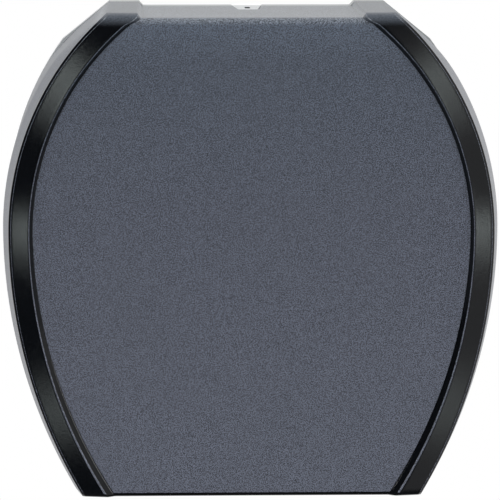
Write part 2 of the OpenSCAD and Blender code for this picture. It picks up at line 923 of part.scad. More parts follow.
// An apron screwed to the back plate, whose lower edge curls forward to lead the
// sheet over the hinge and into the slot
module paper_guide() {
    curl_z = guide_screw_z - guide_leaf / 2;
    curl_depth = flange_rear + guide_r;
    color([0.16, 0.17, 0.18])
    difference() {
        union() {
            translate([-guide_half_w, -flange_rear - guide_t, curl_z])
                cube([2 * guide_half_w, guide_t, guide_leaf]);
            intersection() {
                translate([-guide_half_w, -curl_depth, curl_z])
                    rotate([0, 90, 0])
                        difference() {
                            cylinder(h = 2 * guide_half_w, r = guide_r);
                            translate([0, 0, -1])
                                cylinder(h = 2 * guide_half_w + 2, r = guide_r - guide_t);
                        }
                translate([-far, -curl_depth, curl_z - guide_r - 1])
                    cube([2 * far, guide_r + 1, guide_r + 1]);
            }
        }
        for (s = [-1, 1])
            from_wall(flange_rear - 1)
                translate([s * guide_screw_x, guide_screw_z, 0])
                    cylinder(h = guide_t + 2, r = screw_r + 0.2);
    }
}

module paper_guide_screws() {
    color([0.75, 0.75, 0.77])
    for (s = [-1, 1])
        wall_screw(s * guide_screw_x, guide_screw_z, flange_rear + guide_t, flange_rear);
}

back_plate();
spindle();
spindle_screws();
brake_washer();
roll_hub();
hub_face();
core_clip_top();
core_clip_left();
core_clip_right();
thrust_washer();
spindle_cap();
spindle_cap_screw();
lock_housing();
lock_screws();
latch();
latch_pin();
latch_spring();
front_cover();
hinge_pin_left();
hinge_pin_right();
front_tear_bar();
rear_tear_bar();
tear_bar_screws();
paper_guide();
paper_guide_screws();
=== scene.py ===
import math

import bmesh
import bpy
import numpy as np
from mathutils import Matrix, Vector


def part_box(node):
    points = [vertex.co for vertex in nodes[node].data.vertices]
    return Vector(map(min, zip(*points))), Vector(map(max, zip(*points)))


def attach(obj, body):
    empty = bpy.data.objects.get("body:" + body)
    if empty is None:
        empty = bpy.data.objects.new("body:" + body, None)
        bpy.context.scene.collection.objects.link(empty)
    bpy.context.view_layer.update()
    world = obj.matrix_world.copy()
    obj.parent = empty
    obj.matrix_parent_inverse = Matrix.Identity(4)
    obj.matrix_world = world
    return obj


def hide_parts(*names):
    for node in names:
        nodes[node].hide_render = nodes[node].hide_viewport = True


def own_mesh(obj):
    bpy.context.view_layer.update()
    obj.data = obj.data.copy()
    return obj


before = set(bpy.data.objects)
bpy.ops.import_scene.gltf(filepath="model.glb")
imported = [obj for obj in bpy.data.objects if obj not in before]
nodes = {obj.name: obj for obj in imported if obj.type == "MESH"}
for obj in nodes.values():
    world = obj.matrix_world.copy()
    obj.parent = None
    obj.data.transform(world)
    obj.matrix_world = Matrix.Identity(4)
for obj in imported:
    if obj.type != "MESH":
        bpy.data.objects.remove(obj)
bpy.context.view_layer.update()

MM = 0.001


# ---- The wall, the floor, the daylight and the camera ----------------------------
# The dispenser hangs over a pale floor in a white room. Gloss sees white behind the
# object and a dark room on the viewer's side, with six small windows in it.

class Sock:
    """A number somewhere in a material; sums and products of it add Math nodes."""

    def __init__(self, paint, out):
        self.paint = paint
        self.out = out

    def _math(self, operation, *values):
        return self.paint.add("ShaderNodeMath", {"operation": operation}, *values)

    def __add__(self, other):
        return self._math("ADD", self, other)

    def __radd__(self, other):
        return self._math("ADD", other, self)

    def __sub__(self, other):
        return self._math("SUBTRACT", self, other)

    def __rsub__(self, other):
        return self._math("SUBTRACT", other, self)

    def __mul__(self, other):
        return self._math("MULTIPLY", self, other)

    def __rmul__(self, other):
        return self._math("MULTIPLY", other, self)

    def __pow__(self, other):
        return self._math("POWER", self, other)


class Paint:
    """A material's node tree, or the world's, with one method that adds any node."""

    def __init__(self, owner):
        owner.use_nodes = True
        self.owner = owner
        self.tree = owner.node_tree
        self.tree.nodes.clear()

    def add(self, kind, settings, *values, out=0, **named):
        """Adds a node, gives it its settings, then its sockets by place or by name."""
        node = self.tree.nodes.new(kind)
        for key, value in settings.items():
            if key == "stops":
                ramp = node.color_ramp
                while len(ramp.elements) < len(value):
                    ramp.elements.new(0.5)
                for element, (place, shade) in zip(ramp.elements, value):
                    element.position = place
                    element.color = (*shade, 1.0) if len(shade) == 3 else shade
            else:
                setattr(node, key, value)
        pairs = list(enumerate(values))
        pairs += [(name.replace("_", " "), value) for name, value in named.items()]
        for place, value in pairs:
            self.put(node.inputs[place], value)
        return Sock(self, node.outputs[out] if node.outputs else None)

    def put(self, socket, value):
        """Links a socket or sets its constant."""
        if isinstance(value, Sock):
            self.tree.links.new(value.out, socket)
        elif isinstance(value, (tuple, list)) and len(value) == 3 and len(socket.default_value) == 4:
            socket.default_value = (*value, 1.0)
        else:
            socket.default_value = value

    def blend(self, amount, first, second):
        """Mixes two colours."""
        node = self.tree.nodes.new("ShaderNodeMix")
        node.data_type = "RGBA"
        self.put(node.inputs[0], amount)
        self.put(node.inputs[6], first)
        self.put(node.inputs[7], second)
        return Sock(self, node.outputs[2])

    def ramp(self, value, stops):
        """Runs a number through a colour ramp."""
        return self.add("ShaderNodeValToRGB", {"stops": stops}, value)

    def place(self, stretch=(1.0, 1.0, 1.0)):
        """The Object coordinates, in metres, stretched along each axis."""
        where = self.add("ShaderNodeTexCoord", {}, out="Object")
        return self.add("ShaderNodeMapping", {"vector_type": "POINT"}, where, Scale=stretch)

    def noise(self, where, scale, detail=2.0, roughness=0.5):
        """Soft noise between 0 and 1."""
        return self.add("ShaderNodeTexNoise", {}, Vector=where, Scale=scale, Detail=detail,
                        Roughness=roughness)

    def bump(self, height, strength, distance, under=None):
        """A normal raised by a height in metres times the distance."""
        named = {"Strength": strength, "Distance": distance, "Height": height}
        if under is not None:
            named["Normal"] = under
        return self.add("ShaderNodeBump", {}, **named)

    def surface(self, **named):
        """Ends the material in a Principled shader with these sockets."""
        shader = self.add("ShaderNodeBsdfPrincipled", {}, **named)
        self.add("ShaderNodeOutputMaterial", {}, shader)
        return self.owner


room_light = 0.62
wall_white = (1.0, 1.0, 1.0)
viewer_dark = 0.015
right_glow = 0.42
glow_starts, glow_full = 0.32, 0.42
floor_gloss = 0.05

world = bpy.data.worlds.new("room")
bpy.context.scene.world = world
room = Paint(world)
toward = room.add("ShaderNodeTexCoord", {}, out="Generated")
depthwise = room.add("ShaderNodeSeparateXYZ", {}, toward, out="Y")
behind = room.add("ShaderNodeMapRange", {"interpolation_type": "SMOOTHSTEP"},
                  depthwise, 0.0, 0.5, viewer_dark, 1.0)
sideways = room.add("ShaderNodeSeparateXYZ", {}, toward, out="X")
right_side = room.add("ShaderNodeMapRange", {"interpolation_type": "SMOOTHSTEP"},
                      sideways, glow_starts, glow_full, 0.0, right_glow)
rays = room.add("ShaderNodeLightPath", {})
ray_node = rays.out.node
seen = Sock(room, ray_node.outputs["Is Camera Ray"])
mirrored = Sock(room, ray_node.outputs["Is Glossy Ray"])
through = Sock(room, ray_node.outputs["Is Transmission Ray"])
diffuse_part = (1 - seen) * (1 - mirrored) * (1 - through)
strength = seen + through + mirrored * (behind + right_side) + diffuse_part * room_light
backdrop = room.add("ShaderNodeBackground", {}, Color=wall_white, Strength=strength)
room.add("ShaderNodeOutputWorld", {}, backdrop)


def flat_stage(name, corners, shade):
    """A stage plane through four corners, in metres."""
    mesh = bpy.data.meshes.new(name)
    mesh.from_pydata(corners, [], [(0, 1, 2, 3)])
    plane = bpy.data.objects.new(name, mesh)
    bpy.context.collection.objects.link(plane)
    paint = Paint(bpy.data.materials.new(name))
    where = paint.place()
    mottle = paint.noise(where, 3.0)
    tone = paint.ramp(mottle, [(0.3, shade), (0.7, tuple(min(1.0, c * 1.02) for c in shade))])
    matt = paint.add("ShaderNodeBsdfDiffuse", {}, Color=tone)
    path = paint.add("ShaderNodeLightPath", {})
    sights = path.out.node.outputs
    dimmed = 1 - Sock(paint, sights["Is Glossy Ray"]) * (1 - floor_gloss)
    glow = paint.add("ShaderNodeEmission", {}, Color=wall_white, Strength=dimmed)
    shown = Sock(paint, sights["Is Camera Ray"]) + Sock(paint, sights["Is Glossy Ray"])
    shown = paint.add("ShaderNodeMath", {"operation": "ADD", "use_clamp": True}, shown,
                      Sock(paint, sights["Is Transmission Ray"]))
    mixed = paint.add("ShaderNodeMixShader", {}, shown, matt, glow)
    paint.add("ShaderNodeOutputMaterial", {}, mixed)
    mesh.materials.append(paint.owner)
    return plane


floor_z = -0.75
floor_reach = 1.2
floor_side = 1.5
flat_stage("floor", [(-floor_side, -floor_reach, floor_z), (floor_side, -floor_reach, floor_z),
                     (floor_side, 0, floor_z), (-floor_side, 0, floor_z)], (0.8, 0.8, 0.79))


def aimed(place, target):
    """The Euler angles that point a lamp or the camera from its place at a target."""
    sight = np.array(target) - np.array(place)
    return (math.atan2(math.hypot(sight[0], sight[1]), -sight[2]), 0.0,
            math.atan2(sight[1], sight[0]) - math.pi / 2)


def softbox(name, place, target, size, power, tint=(1.0, 1.0, 1.0)):
    """A rectangular area lamp at a place, aimed at a target."""
    lamp = bpy.data.lights.new(name, "AREA")
    lamp.color = tint
    lamp.shape = "RECTANGLE"
    lamp.size, lamp.size_y = size
    lamp.energy = power
    holder = bpy.data.objects.new(name, lamp)
    holder.location = place
    holder.rotation_euler = aimed(place, target)
    bpy.context.collection.objects.link(holder)
    return holder


# Each window has its azimuth and elevation in degrees, its width and height in metres
# and its power in watts.
window_far = 4.0
window_tint = (0.90, 1.0, 0.99)
for name, azimuth, elevation, width, height, power in (
        ("window_left_high", -22.4, 8.2, 0.34, 0.50, 1.55),
        ("window_left_mid", -26.6, -6.2, 0.34, 0.20, 0.76),
        ("window_left_low", -25.1, -18.8, 0.34, 0.255, 0.46),
        ("window_right_high", 25.6, 8.0, 0.34, 0.50, 1.06),
        ("window_right_mid", 29.7, -6.2, 0.34, 0.23, 0.76),
        ("window_right_low", 28.3, -18.4, 0.34, 0.29, 0.34)):
    turn, rise = math.radians(azimuth), math.radians(elevation)
    softbox(name, (window_far * math.sin(turn) * math.cos(rise),
                   -window_far * math.cos(turn) * math.cos(rise),
                   window_far * math.sin(rise)), (0, 0, 0), (width, height), power, window_tint)
softbox("key_left", (-1.3, -1.5, 0.9), (0, 0, 0), (0.5, 0.9), 14)
softbox("fill_right", (1.4, -1.4, 0.5), (0, 0, 0), (0.5, 0.9), 10)

# The camera stands two metres off, a little left of the middle and above it.
camera_place = (-0.0517, -2.0016, 0.2523)
camera_target = (-0.0012, -0.130, 0.0056)
focal_mm = 242.8
sensor_mm = 36.0

lens = bpy.data.cameras.new("camera")
lens.lens = focal_mm
lens.sensor_width = sensor_mm
camera = bpy.data.objects.new("camera", lens)
camera.location = camera_place
camera.rotation_euler = aimed(camera_place, camera_target)
bpy.context.collection.objects.link(camera)
bpy.context.scene.camera = camera
bpy.context.scene.view_settings.view_transform = "Standard"


# ---- Back plate ------------------------------------------------------------------
# One moulding of mid-grey ABS that carries everything: wall slots, rib ring, hinge ears
# and a rim that the cover closes over. Four screws hold it to the wall.

def dress(finish, *names):
    """Gives CAD nodes one finish."""
    for name in names:
        mesh = nodes[name].data
        mesh.materials.clear()
        mesh.materials.append(finish)


# The nearly black colour of painted shade, put inside given boxes of a moulding.
painted_shade_colour = (0.02, 0.02, 0.021)


def moulded(name, colour, rough, speckle=0.10, grain_size=1100.0, relief=0.25, shaded_boxes=()):
    """Satin moulding: clouds of slightly uneven colour, a fine grain, and gloss that
    wanders with the flow of the plastic. Inside each box given in millimetres, the
    colour is painted nearly black as painted shade."""
    paint = Paint(bpy.data.materials.new(name))
    where = paint.place()
    cloud = paint.noise(where, 14.0, 3.0, 0.55)
    grain = paint.noise(where, grain_size, 2.0, 0.6)
    flow = paint.noise(paint.place((9.0, 9.0, 34.0)), 6.0, 2.0, 0.5)
    low = tuple(c * (1 - speckle) for c in colour)
    high = tuple(min(1.0, c * (1 + speckle)) for c in colour)
    tone = paint.ramp(cloud * 0.55 + grain * 0.45, [(0.35, low), (0.65, high)])
    # Inside each box the colour is painted nearly black: painted shade.
    for corners in shaded_boxes:
        inside = 1
        for axis, bottom, top in zip("XYZ", *corners):
            along = paint.add("ShaderNodeSeparateXYZ", {}, where, out=axis)
            inside = inside * paint.add("ShaderNodeMath", {"operation": "GREATER_THAN"},
                                        along, bottom * MM)
            inside = inside * paint.add("ShaderNodeMath", {"operation": "LESS_THAN"},
                                        along, top * MM)
        tone = paint.blend(inside, tone, painted_shade_colour)
    gloss = paint.add("ShaderNodeMapRange", {}, flow * 0.6 + grain * 0.4, 0.3, 0.7,
                      rough - 0.07, rough + 0.07)
    return paint.surface(Base_Color=tone, Roughness=gloss,
                         Normal=paint.bump(grain, relief, 0.00008))


dress(moulded("plate_grey_abs", (0.45, 0.47, 0.48), 0.42), "back_plate")


# ---- Spindle ---------------------------------------------------------------------
# A black moulded post screwed to the plate, with a felt friction ring behind the hub,
# a nylon washer in front of it and a screwed cap that keeps the hub on.

def zinc_steel(name):
    """Zinc-plated steel: blue-grey patches over a fine turned grain."""
    paint = Paint(bpy.data.materials.new(name))
    where = paint.place()
    patch = paint.noise(where, 240.0, 3.0, 0.6)
    turned = paint.noise(paint.place((1.0, 1.0, 8.0)), 1900.0, 2.0, 0.5)
    tone = paint.ramp(patch, [(0.3, (0.46, 0.47, 0.50)), (0.55, (0.58, 0.59, 0.60)),
                              (0.75, (0.64, 0.62, 0.56))])
    gloss = paint.add("ShaderNodeMapRange", {}, turned, 0.3, 0.7, 0.22, 0.38)
    return paint.surface(Base_Color=tone, Metallic=1.0, Roughness=gloss,
                         Normal=paint.bump(turned, 0.2, 0.00005))


def felt(name):
    """Pressed felt: matted fibres in two sizes, with sheen-like pale tips."""
    paint = Paint(bpy.data.materials.new(name))
    where = paint.place()
    fibre = paint.noise(where, 1700.0, 6.0, 0.75)
    mat = paint.noise(where, 320.0, 4.0, 0.6)
    tone = paint.ramp(fibre * 0.6 + mat * 0.4, [(0.35, (0.010, 0.010, 0.011)),
                                                (0.7, (0.045, 0.045, 0.048))])
    return paint.surface(Base_Color=tone, Roughness=0.95,
                         Normal=paint.bump(fibre, 0.8, 0.0003))


black_abs = moulded("black_abs", (0.030, 0.032, 0.035), 0.38, 0.22)
nylon = moulded("natural_nylon", (0.80, 0.80, 0.76), 0.34, 0.03, 700.0, 0.15)
plated = zinc_steel("zinc_plated")
dress(black_abs, "spindle", "spindle_cap")
dress(felt("friction_felt"), "brake_washer")
dress(nylon, "thrust_washer")
dress(plated, "spindle_screws", "spindle_cap_screw")


# ---- Hub and core clips ----------------------------------------------------------
# The roll's small core slides on a ribbed black barrel. Three grey clips hinge between
# its webs and spring out to grip the core's end.

dress(black_abs, "roll_hub", "hub_face")
dress(moulded("clip_acetal", (0.60, 0.61, 0.62), 0.33, 0.05, 800.0, 0.15),
      "core_clip_top", "core_clip_left", "core_clip_right")


# ---- Lock ------------------------------------------------------------------------
# A light grey housing screwed behind the notch, with a key slot in its cap. The red
# lever turns on a steel pin, and a small coil spring holds its nose up.

def drawn_steel(name):
    """Drawn stainless wire and rod: fine lines along the length, bright and even."""
    paint = Paint(bpy.data.materials.new(name))
    lines = paint.noise(paint.place((0.06, 1.0, 1.0)), 2600.0, 3.0, 0.6)
    cloud = paint.noise(paint.place(), 60.0, 2.0, 0.5)
    tone = paint.ramp(lines * 0.5 + cloud * 0.5, [(0.35, (0.50, 0.51, 0.52)),
                                                  (0.65, (0.66, 0.66, 0.66))])
    gloss = paint.add("ShaderNodeMapRange", {}, lines, 0.3, 0.7, 0.20, 0.34)
    return paint.surface(Base_Color=tone, Metallic=1.0, Roughness=gloss,
                         Normal=paint.bump(lines, 0.3, 0.00004))


def new_piece(name, points, quads, zones=None, finishes=(), crease=35.0):
    """A piece from points in millimetres: doubles merged, normals outwards, smooth
    except across edges that turn by more than the crease angle in degrees."""
    mesh = bpy.data.meshes.new(name)
    quads = [tuple(dict.fromkeys(map(int, q))) for q in quads]
    mesh.from_pydata((np.asarray(points, float) * MM).tolist(), [], quads)
    for finish in finishes:
        mesh.materials.append(finish)
    if zones is not None:
        mesh.polygons.foreach_set("material_index", np.asarray(zones, int))
    shape = bmesh.new()
    shape.from_mesh(mesh)
    bmesh.ops.remove_doubles(shape, verts=shape.verts, dist=1e-6)
    bmesh.ops.dissolve_degenerate(shape, edges=shape.edges, dist=1e-7)
    bmesh.ops.recalc_face_normals(shape, faces=shape.faces)
    shape.to_mesh(mesh)
    shape.free()
    piece = bpy.data.objects.new(name, mesh)
    bpy.context.collection.objects.link(piece)
    soften(piece, crease)
    return piece


def soften(piece, crease=35.0):
    """Smooth shading that keeps the edges sharper than the crease angle."""
    shape = bmesh.new()
    shape.from_mesh(piece.data)
    for face in shape.faces:
        face.smooth = True
    for edge in shape.edges:
        turned = len(edge.link_faces) == 2 and edge.calc_face_angle(0) > math.radians(crease)
        edge.smooth = not turned
    shape.to_mesh(piece.data)
    shape.free()


def tube(rings):
    """The points and faces of a closed rod through rings of points, capped at its ends."""
    count, n = rings.shape[:2]
    i, j = np.meshgrid(np.arange(count - 1), np.arange(n), indexing="ij")
    a, b = i * n + j, i * n + (j + 1) % n
    faces = list(np.stack([a, b, b + n, a + n], axis=-1).reshape(-1, 4))
    faces += [np.arange(n), np.arange(count * n - 1, (count - 1) * n - 1, -1)]
    return rings.reshape(-1, 3), faces


# Two places get painted shade, their colour painted nearly black: the walls of the key
# slot, and the seam at the front end of the cap. Each is a box from one corner to the
# other, in millimetres.
key_slot_shade = ((-1.58, -33.6, 118.0), (1.58, -18.4, 134.9))
cap_seam_shade = ((-7.0, -47.2, 133.0), (7.0, -46.55, 136.0))
dress(moulded("lock_grey_abs", (0.72, 0.75, 0.76), 0.36, 0.03,
              shaded_boxes=(key_slot_shade, cap_seam_shade)), "lock_housing")
dress(plated, "lock_screws")
dress(moulded("latch_red", (0.55, 0.05, 0.03), 0.34, 0.08, 800.0, 0.15), "latch")
bright = drawn_steel("stainless_rod")
dress(bright, "latch_pin", "hinge_pin_left", "hinge_pin_right")

# The spring is wound wire with its end turns closed.
# Along the wire the angle grows evenly, while the height waits over each closed end and
# between them eases from the bottom to the top as 3 t^2 - 2 t^3.
coil_turns = 4
closed_share = 0.13
coil_sides = 10
coil_rings = 140
wire_r = 0.3
coil_low, coil_high = (np.array(corner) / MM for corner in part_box("latch_spring"))
coil_middle = (coil_low + coil_high) / 2
coil_r = (coil_high[0] - coil_low[0]) / 2 - wire_r
along = np.linspace(0, 1, coil_rings)[:, None]
round_wire = np.linspace(0, 2 * math.pi, coil_sides, endpoint=False)[None, :]
rise = np.clip((along - closed_share) / (1 - 2 * closed_share), 0, 1)
rise = rise * rise * (3 - 2 * rise)
reach = coil_r + wire_r * np.cos(round_wire)
coil = np.stack([
    coil_middle[0] + reach * np.cos(2 * math.pi * coil_turns * along),
    coil_middle[1] + reach * np.sin(2 * math.pi * coil_turns * along),
    coil_low[2] + wire_r + (coil_high[2] - coil_low[2] - 2 * wire_r) * rise
    + wire_r * np.sin(round_wire)], axis=2)
spring = new_piece("latch_coil", *tube(coil), finishes=(bright,))
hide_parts("latch_spring")
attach(spring, "base")
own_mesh(spring)


# ---- Paper guide and tear bars ---------------------------------------------------
# A black curled leaf leads the paper to the slot. Two toothed stainless strips are
# screwed along the slot's edges, so the sheet tears either way.

def brushed_steel(name):
    """Stainless strip brushed along its length: long scratches in tone and relief."""
    paint = Paint(bpy.data.materials.new(name))
    brushed = paint.noise(paint.place((0.012, 1.0, 1.0)), 3000.0, 4.0, 0.65)
    cloud = paint.noise(paint.place(), 35.0, 2.0, 0.5)
    tone = paint.ramp(brushed * 0.6 + cloud * 0.4, [(0.3, (0.47, 0.48, 0.49)),
                                                    (0.7, (0.68, 0.68, 0.67))])
    gloss = paint.add("ShaderNodeMapRange", {}, brushed, 0.3, 0.7, 0.24, 0.42)
    return paint.surface(Base_Color=tone, Metallic=1.0, Roughness=gloss,
                         Normal=paint.bump(brushed, 0.35, 0.00005))


dress(black_abs, "paper_guide")
dress(brushed_steel("brushed_strip"), "front_tear_bar", "rear_tear_bar")
dress(plated, "paper_guide_screws", "tear_bar_screws")


# ---- Front cover -----------------------------------------------------------------
# One moulding of smoke-tinted ABS, frosted on the panel, top and sides, polished on the
# two raised bands and round the lower edge, with small radii everywhere. The notch at
# the top clears the lock and the slot in the floor lets the paper out.

half_w = 136.4
widest_z = 14.2
upper_r = 166.0
lower_r = 294.0
top_z = 138.1
bottom_z = -135.4
crown_z = 135.4
corner_angle = math.radians(39.0)
corner_reach = 147.3
corner_soft = 0.8
rear_soft = 0.45
wall = 2.6
cover_rear = 14.3
side_depth = 126.5
chamfer_depth = 127.8
chamfer_growth = -1.3
panel_depth = 127.3
ridge_depth = 130.0
ridge_corner = 0.078
ridge_growth = -11.6
foot_growth = -13.3
foot_spread = 2.5
flare = 4.2
flare_start = 100.5
rear_growth = 5.6
shoulder_x = 63.7
shoulder_foot_x = 61.8
outer_rounds = (6.5, 3.6)
inner_rounds = (4.0, 1.5)
floor_round = 2.3
round_steps = 8
panel_columns = 39


def outline_x(z, growth, inset=0.0):
    """Half width at height z: the upper or lower circle, its radius grown, meets the
    straight corner cut in a soft minimum, -k log(exp(-a / k) + exp(-b / k)), which is
    softer where the wall has grown towards the rear."""
    radius = np.where(z >= widest_z, upper_r, lower_r)
    arc = np.sqrt((radius + growth) ** 2 - (z - widest_z) ** 2) - (radius - half_w)
    cut = (corner_reach - inset - (z - widest_z) * math.cos(corner_angle)) / math.sin(corner_angle)
    soft = np.maximum(corner_soft, corner_soft + rear_soft * growth)
    return arc - soft * np.log1p(np.exp((arc - cut) / soft))


def rounded_line(corners, radii, steps):
    """A polyline whose inner corners are arcs: each arc touches both legs at radius over
    tan(half the corner) from it, and its points turn evenly about the arc's centre."""
    corners = np.array(corners, float)
    line = [corners[:1]]
    for before, corner, after, radius in zip(corners, corners[1:], corners[2:], radii):
        back = (before - corner) / np.linalg.norm(before - corner)
        ahead = (after - corner) / np.linalg.norm(after - corner)
        middle = (back + ahead) / np.linalg.norm(back + ahead)
        half = math.acos(np.clip(back @ middle, -1, 1))
        centre = corner + middle * radius / math.sin(half)
        start = corner + back * radius / math.tan(half) - centre
        end = corner + ahead * radius / math.tan(half) - centre
        t = np.linspace(0, 1, steps)[:, None]
        swing = start * (1 - t) + end * t
        line.append(centre + swing / np.linalg.norm(swing, axis=1)[:, None] * radius)
    line.append(corners[-1:])
    return np.vstack(line)


def cover_skin(inset, side_line, front_line, step_from, top_rounds):
    """A skin as three grids of points: over the top, down the front and back along the
    floor; and both sides. Lines hold (depth, growth); step_from is the ridge's place in
    front_line. Across a row, x runs evenly in growth from outline to ridge, and from
    there to the step's foot, where the panel's straight columns begin. The top's front
    edge has one radius on the shoulders and another on the panel, and below the widest
    height the step spreads inwards in proportion to the drop."""
    rear = cover_rear
    band = len(front_line)
    depths, growths = front_line.T
    u = np.clip((growths[0] - growths) / (growths[0] - growths[step_from]), 0, 1)
    f = np.clip((growths[step_from] - growths) / (growths[step_from] - growths[-1]), 0, 1)
    across = np.linspace(-1, 1, panel_columns + 2)[1:-1]

    def mirrored(left, middle):
        """A value for every column from the left band's values and the panel's."""
        return np.concatenate([left, np.full(len(across), middle), left[::-1]])

    front_depth = mirrored(depths, depths[-1])
    column_top = mirrored(top_z - inset - (top_z - crown_z) * f, crown_z - inset)
    top_r = mirrored(top_rounds[0] + (top_rounds[1] - top_rounds[0]) * f, top_rounds[1])
    low_r = floor_round if inset == 0 else top_rounds[1]
    shoulder = shoulder_x - inset * 0.7
    shoulder_foot = shoulder_foot_x - inset * 0.7
    floor = bottom_z + inset

    def row(depth, z, lead):
        """One row of points; lead moves ridge and foot onto the shoulder's straight edge."""
        left_z, left_d, turn_in = z[:band], depth[:band], lead[:band]
        spread = foot_spread * np.clip((widest_z - left_z) / (widest_z - bottom_z), 0, 1)
        outer = outline_x(left_z, np.interp(left_d[0], side_line[:, 0], side_line[:, 1]), inset)
        ridge = outline_x(left_z, growths[step_from], inset)
        foot = outline_x(left_z, growths[-1] - spread, inset)
        ridge = ridge * (1 - turn_in) + shoulder * turn_in
        foot = foot * (1 - turn_in) + shoulder_foot * turn_in
        x = outer + (ridge - outer) * u + (foot - ridge) * f
        line = np.concatenate([-x, across * x[-1], x[::-1]])
        return np.stack([line, -depth, z], axis=1)

    ones = np.ones(len(column_top))
    share = (side_line[:, 0] - rear) / (side_line[-1, 0] - rear)
    turns = np.linspace(0, math.pi / 2, round_steps + 1)
    falls = np.concatenate([np.linspace(0, 0.25, 40), np.linspace(0.25, 1, 70)[1:]])
    rows = [row(rear + s * (front_depth - top_r - rear), column_top, ones)
            for s in share[:-1]]
    rows += [row(front_depth - top_r * (1 - math.sin(t)), column_top - top_r * (1 - math.cos(t)),
                 ones * math.cos(t)) for t in turns]
    rows += [row(front_depth, (column_top - top_r) * (1 - t) + (floor + low_r) * t, 0 * ones)
             for t in falls[1:]]
    rows += [row(front_depth - low_r * (1 - math.cos(t)),
                 ones * (floor + low_r * (1 - math.sin(t))), 0 * ones) for t in turns[1:]]
    rows += [row(rear + s * (front_depth - low_r - rear), ones * floor, 0 * ones)
             for s in share[-2::-1]]
    front = np.array(rows)

    n_top = len(share) - 1
    edge = front[n_top:len(front) - n_top, 0]
    depth = rear + share[None, :] * (-edge[:, 1:2] - rear)
    z = np.repeat(edge[:, 2:3], len(share), axis=1)
    grow = np.interp(depth, side_line[:, 0], side_line[:, 1])
    left = np.stack([-outline_x(z, grow, inset), -depth, z], axis=2)
    left[:, -1] = edge
    left[0] = front[:n_top + 1, 0]
    left[-1] = front[len(front) - n_top - 1:, 0][::-1]
    return front, left, left * np.array([-1, 1, 1])


def grid_quads(rows, columns, start, flip):
    """The quads of a grid whose vertices begin at start, row after row."""
    i, j = np.meshgrid(np.arange(rows - 1), np.arange(columns - 1), indexing="ij")
    a = start + i * columns + j
    quad = np.stack([a, a + 1, a + columns + 1, a + columns], axis=-1).reshape(-1, 4)
    return quad[:, ::-1] if flip else quad


def apply_modifiers(piece):
    """Bakes a piece's modifiers into its mesh."""
    bpy.context.view_layer.update()
    done = bpy.data.meshes.new_from_object(
        piece.evaluated_get(bpy.context.evaluated_depsgraph_get()))
    piece.modifiers.clear()
    piece.data = done


def prism(name, section, low, high, axis):
    """A section of two coordinates carried straight from low to high along an axis."""
    section = np.asarray(section, float)
    ends = []
    for level in (low, high):
        other = [k for k in range(3) if k != axis]
        points = np.zeros((len(section), 3))
        points[:, other[0]], points[:, other[1]] = section.T
        points[:, axis] = level
        ends.append(points)
    n = len(section)
    i = np.arange(n)
    sides = np.stack([i, (i + 1) % n, (i + 1) % n + n, i + n], axis=1)
    faces = [tuple(q) for q in sides] + [tuple(range(n)), tuple(range(2 * n - 1, n - 1, -1))]
    return new_piece(name, np.vstack(ends), faces)


def carve(piece, cutters):
    """Cuts the cutters out of a piece and deletes them."""
    for cutter in cutters:
        cut = piece.modifiers.new("cut", "BOOLEAN")
        cut.operation = "DIFFERENCE"
        cut.solver = "EXACT"
        cut.object = cutter
    apply_modifiers(piece)
    for cutter in cutters:
        bpy.data.objects.remove(cutter)
    soften(piece)


# The side runs almost straight from the rear to the flare's start, turns there in a soft
# bend, and closes in towards the front.
side_line = np.array([(d, np.interp(d, [0, flare_start], [rear_growth, flare]))
                      for d in np.linspace(cover_rear, flare_start - 6, 9)]
                     + [(flare_start - 2, flare + 0.02), (flare_start + 2, flare - 0.26)]
                     + [(d, flare * (side_depth - d) / (side_depth - flare_start))
                        for d in np.linspace(flare_start + 5, side_depth - 0.3, 6)])

# The front turns over the side's end, the chamfer, the ridge and the step's foot. The
# ridge's corner stands a little proud, so that its rounding reaches the full depth.
front_rounds = [0.35, 0.5, 0.6, 0.5]
front_line = rounded_line(
    [side_line[-1], (side_depth, 0.0), (chamfer_depth, chamfer_growth),
     (ridge_depth + ridge_corner, ridge_growth), (panel_depth, foot_growth),
     (panel_depth, foot_growth - 8)], front_rounds, 6)[:-1]
gap_at = int(np.argmax(np.diff(-front_line[:, 1])))
band_run = np.linspace(0, 1, 8)[1:-1, None]
front_line = np.vstack([
    front_line[:gap_at + 1],
    front_line[gap_at] + (front_line[gap_at + 1] - front_line[gap_at]) * band_run,
    front_line[gap_at + 1:]])
ridge_at = int(np.argmax(front_line[:, 0]))

# The inner skin keeps the wall behind the outer one and crosses the band in few columns.
inner_columns = 6
inner_ridge = 4
inner_side = side_line - [0, wall]
inner_side[:, 0] = cover_rear + (side_line[:, 0] - cover_rear) * (
    (panel_depth - wall - 0.02 - cover_rear) / (side_line[-1, 0] - cover_rear))
inner_growth = np.linspace(inner_side[-1, 1], foot_growth - 1, inner_columns)
inner_front = np.stack([np.full(inner_columns, panel_depth - wall), inner_growth], axis=1)


def on_lip(places):
    """True for the places of front_line on its two fine lips, which take the frosted finish:
    where the band leaves its outer chamfer, and along the crest of the ridge. The paler
    colour there is partly a real change of finish and partly a painted highlight."""
    depth, growth = places.T
    crest = (depth > ridge_depth - 0.3) & (abs(growth - ridge_growth) < 0.32)
    shed = (abs(depth - chamfer_depth) < 0.12) & (abs(growth - chamfer_growth) < 0.45)
    return crest | shed


